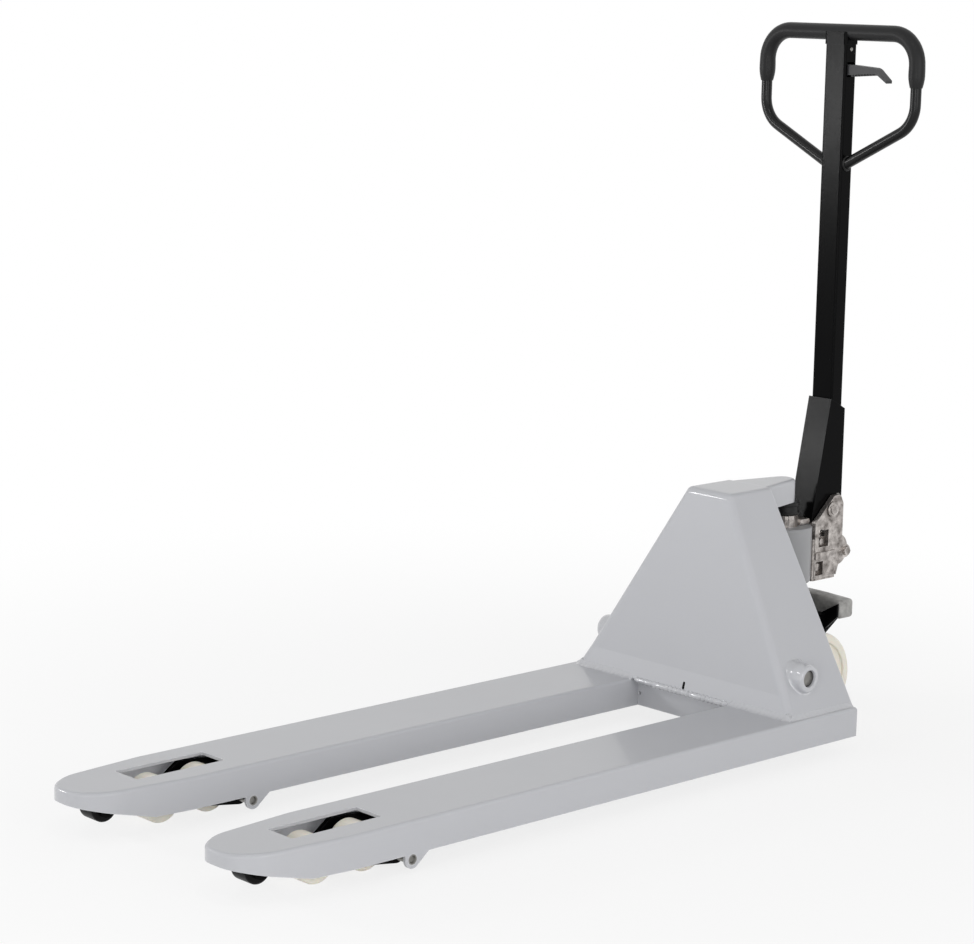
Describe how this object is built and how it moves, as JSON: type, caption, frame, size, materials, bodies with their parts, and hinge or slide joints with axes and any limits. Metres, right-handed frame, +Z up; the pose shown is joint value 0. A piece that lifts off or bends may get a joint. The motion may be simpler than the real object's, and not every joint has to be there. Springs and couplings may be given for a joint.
{
  "type": "hand pallet truck",
  "caption": "Low hand-pushed pallet truck with load forks on tandem rollers, a steered wheel and hydraulic pump unit and an upright tiller with a loop handle and lowering lever.",
  "frame": {"origin": "on the floor, under the middle of the truck's bounding box", "axes": "+X from the fork tips to the tiller, +Y to the operator's right, +Z up"},
  "size_m": [1.5406, 0.525, 1.213],
  "materials": {
    "frame_paint": "gloss powder coat",
    "black_paint": "satin powder coat",
    "zinc": "zinc plated",
    "cast_aluminium": "as cast",
    "chrome": "polished",
    "steel": "turned",
    "nylon": "moulded",
    "rubber": "matte",
    "dark_plastic": "fine grain"
  },
  "bodies": {
    "chassis": {"left_fork": "frame_paint", "right_fork": "frame_paint", "cross_member": "frame_paint", "body_shell": "frame_paint", "head_block": "frame_paint", "lift_ram": "chrome", "ram_seat": "rubber", "rocker_bosses": "frame_paint", "frame_pins": "zinc", "entry_axles": "steel"},
    "carriage": {"thrust_collar": "black_paint", "thrust_bearing": "steel"},
    "steer_unit": {"steer_yoke": "black_paint", "rear_guard": "cast_aluminium", "guard_screws": "zinc", "steer_axle": "steel", "axle_clips": "zinc", "pump_cylinder": "zinc", "pump_reservoir": "frame_paint", "gland_nut": "zinc", "pump_head": "zinc", "valve_plugs": "zinc", "tiller_pivot_pin": "zinc", "plunger_spring": "steel"},
    "left_wheel": {"left_steer_wheel": "nylon", "left_wheel_bearings": "steel"},
    "right_wheel": {"right_steer_wheel": "nylon", "right_wheel_bearings": "steel"},
    "plunger": {"plunger": "chrome"},
    "release": {"release_lever": "zinc"},
    "tiller": {"tiller_base": "black_paint", "tiller_tube": "black_paint", "handle_loop": "black_paint", "handle_cap": "black_paint", "left_grip": "rubber", "right_grip": "rubber", "roller_pin": "steel", "lever_pin": "steel"},
    "pump_roller": {"pump_roller": "steel"},
    "control_lever": {"control_lever": "dark_plastic"},
    "control_rod": {"control_rod": "steel"},
    "rocker": {"rocker_shaft": "black_paint", "rocker_pins": "zinc"},
    "left_frame": {"left_roller_frame": "black_paint", "left_swing_pins": "zinc"},
    "left_bogie": {"left_bogie_links": "black_paint", "left_roller_axles": "steel"},
    "left_front_roller": {"left_front_roller": "nylon"},
    "left_rear_roller": {"left_rear_roller": "nylon"},
    "left_entry_roller": {"left_entry_roller": "dark_plastic"},
    "left_push_rod": {"left_push_rod": "black_paint"},
    "right_frame": {"right_roller_frame": "black_paint", "right_swing_pins": "zinc"},
    "right_bogie": {"right_bogie_links": "black_paint", "right_roller_axles": "steel"},
    "right_front_roller": {"right_front_roller": "nylon"},
    "right_rear_roller": {"right_rear_roller": "nylon"},
    "right_entry_roller": {"right_entry_roller": "dark_plastic"},
    "right_push_rod": {"right_push_rod": "black_paint"}
  },
  "joints": [
    {"name": "lift", "type": "slide", "parent": "chassis", "child": "carriage", "axis": [0, 0, -1], "range_m": [0, 0.1]},
    {"name": "steer", "type": "hinge", "parent": "carriage", "child": "steer_unit", "pos_m": [0.6317, 0, 0.195], "axis": [0, 0, 1], "range_deg": [-90, 90]},
    {"name": "tiller_tilt", "type": "hinge", "parent": "steer_unit", "child": "tiller", "pos_m": [0.71871, 0, 0.363], "axis": [0, 1, 0], "range_deg": [0, 75], "stiffness_Nm_per_rad": 15, "springref_deg": -42.97},
    {"name": "pump_roller_spin", "type": "hinge", "parent": "tiller", "child": "pump_roller", "pos_m": [0.74489, 0, 0.38309], "axis": [0, 1, 0], "continuous": true},
    {"name": "plunger_stroke", "type": "slide", "parent": "steer_unit", "child": "plunger", "axis": [0, 0, -1], "range_m": [0, 0.0403], "deforming": ["plunger_spring"]},
    {"name": "control_lever_swing", "type": "hinge", "parent": "tiller", "child": "control_lever", "pos_m": [0.7352, -0.008, 1.135], "axis": [1, 0, 0], "range_deg": [-12, 12], "stiffness_Nm_per_rad": 2},
    {"name": "control_rod_slide", "type": "slide", "parent": "tiller", "child": "control_rod", "axis": [0, 0, 1], "range_m": [-0.0038, 0.0038]},
    {"name": "release_swing", "type": "hinge", "parent": "steer_unit", "child": "release", "pos_m": [0.69071, 0, 0.326], "axis": [0, 1, 0], "range_deg": [-8.7, 8.7]},
    {"name": "rocker_swing", "type": "hinge", "parent": "chassis", "child": "rocker", "pos_m": [0.43471, 0, 0.14], "axis": [0, 1, 0], "range_deg": [0, 40.56]},
    {"name": "left_wheel_spin", "type": "hinge", "parent": "steer_unit", "child": "left_wheel", "pos_m": [0.6317, -0.071, 0.08], "axis": [0, 1, 0], "continuous": true},
    {"name": "left_frame_swing", "type": "hinge", "parent": "chassis", "child": "left_frame", "pos_m": [-0.4653, -0.1875, 0.021], "axis": [0, 1, 0], "range_deg": [-76.29, 0]},
    {"name": "left_bogie_swing", "type": "hinge", "parent": "left_frame", "child": "left_bogie", "pos_m": [-0.55729, -0.1875, 0.035], "axis": [0, 1, 0], "range_deg": [0, 76.29]},
    {"name": "left_push_rod_swing", "type": "hinge", "parent": "left_frame", "child": "left_push_rod", "pos_m": [-0.43938, -0.1875, 0.05405], "axis": [0, 1, 0], "range_deg": [0, 76.29]},
    {"name": "left_front_roller_spin", "type": "hinge", "parent": "left_bogie", "child": "left_front_roller", "pos_m": [-0.6033, -0.1875, 0.035], "axis": [0, 1, 0], "continuous": true},
    {"name": "left_rear_roller_spin", "type": "hinge", "parent": "left_bogie", "child": "left_rear_roller", "pos_m": [-0.5113, -0.1875, 0.035], "axis": [0, 1, 0], "continuous": true},
    {"name": "left_entry_roller_spin", "type": "hinge", "parent": "chassis", "child": "left_entry_roller", "pos_m": [-0.7053, -0.1875, 0.043], "axis": [0, 1, 0], "continuous": true},
    {"name": "right_wheel_spin", "type": "hinge", "parent": "steer_unit", "child": "right_wheel", "pos_m": [0.6317, 0.071, 0.08], "axis": [0, 1, 0], "continuous": true},
    {"name": "right_frame_swing", "type": "hinge", "parent": "chassis", "child": "right_frame", "pos_m": [-0.4653, 0.1875, 0.021], "axis": [0, 1, 0], "range_deg": [-76.29, 0]},
    {"name": "right_bogie_swing", "type": "hinge", "parent": "right_frame", "child": "right_bogie", "pos_m": [-0.55729, 0.1875, 0.035], "axis": [0, 1, 0], "range_deg": [0, 76.29]},
    {"name": "right_push_rod_swing", "type": "hinge", "parent": "right_frame", "child": "right_push_rod", "pos_m": [-0.43938, 0.1875, 0.05405], "axis": [0, 1, 0], "range_deg": [0, 76.29]},
    {"name": "right_front_roller_spin", "type": "hinge", "parent": "right_bogie", "child": "right_front_roller", "pos_m": [-0.6033, 0.1875, 0.035], "axis": [0, 1, 0], "continuous": true},
    {"name": "right_rear_roller_spin", "type": "hinge", "parent": "right_bogie", "child": "right_rear_roller", "pos_m": [-0.5113, 0.1875, 0.035], "axis": [0, 1, 0], "continuous": true},
    {"name": "right_entry_roller_spin", "type": "hinge", "parent": "chassis", "child": "right_entry_roller", "pos_m": [-0.7053, 0.1875, 0.043], "axis": [0, 1, 0], "continuous": true}
  ],
  "couplings": [
    {"joint": "plunger_stroke", "follows": "tiller_tilt", "m_per_rad": 0.030694},
    {"joint": "control_rod_slide", "follows": "control_lever_swing", "m_per_rad": 0.018},
    {"joint": "release_swing", "follows": "control_lever_swing", "ratio": -0.72},
    {"joint": "rocker_swing", "follows": "lift", "rad_per_m": 7.0611},
    {"joint": "left_frame_swing", "follows": "lift", "rad_per_m": -13.298},
    {"joint": "left_bogie_swing", "follows": "lift", "rad_per_m": 13.298},
    {"joint": "left_push_rod_swing", "follows": "lift", "rad_per_m": 13.298},
    {"joint": "right_frame_swing", "follows": "lift", "rad_per_m": -13.298},
    {"joint": "right_bogie_swing", "follows": "lift", "rad_per_m": 13.298},
    {"joint": "right_push_rod_swing", "follows": "lift", "rad_per_m": 13.298}
  ]
}
